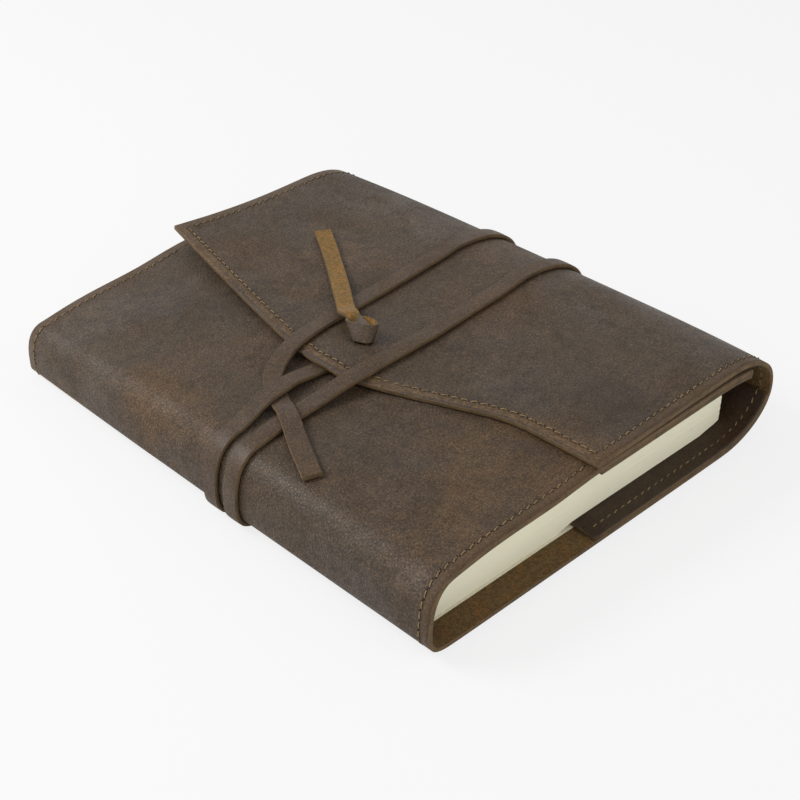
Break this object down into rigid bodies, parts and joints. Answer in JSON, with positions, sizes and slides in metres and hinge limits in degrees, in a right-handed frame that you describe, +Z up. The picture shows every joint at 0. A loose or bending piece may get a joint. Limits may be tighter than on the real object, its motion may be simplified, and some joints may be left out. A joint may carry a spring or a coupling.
{
  "type": "refillable journal",
  "caption": "Refillable journal: a page block with card covers in the pockets of a wrapped leather cover, its pointed flap tied down with a flat leather lace.",
  "frame": {"origin": "on the table under the middle of the closed journal", "axes": "X from the spine to the fore-edge fold, Y from the tail to the head of the cover, Z up through the pages"},
  "size_m": [0.1864, 0.224, 0.0442],
  "materials": {
    "cover_leather": "worn pebbled grain, satin",
    "pocket_leather": "smooth, dark",
    "card": "uncoated card",
    "pages": "uncoated cream paper",
    "lace_leather": "grain above, suede below"
  },
  "bodies": {
    "root": {"wrap_cover": "cover_leather", "front_pocket": "pocket_leather", "back_pocket": "pocket_leather", "refill_card": "card", "text_block": "pages", "wrap_lace": "lace_leather"}
  },
  "joints": []
}
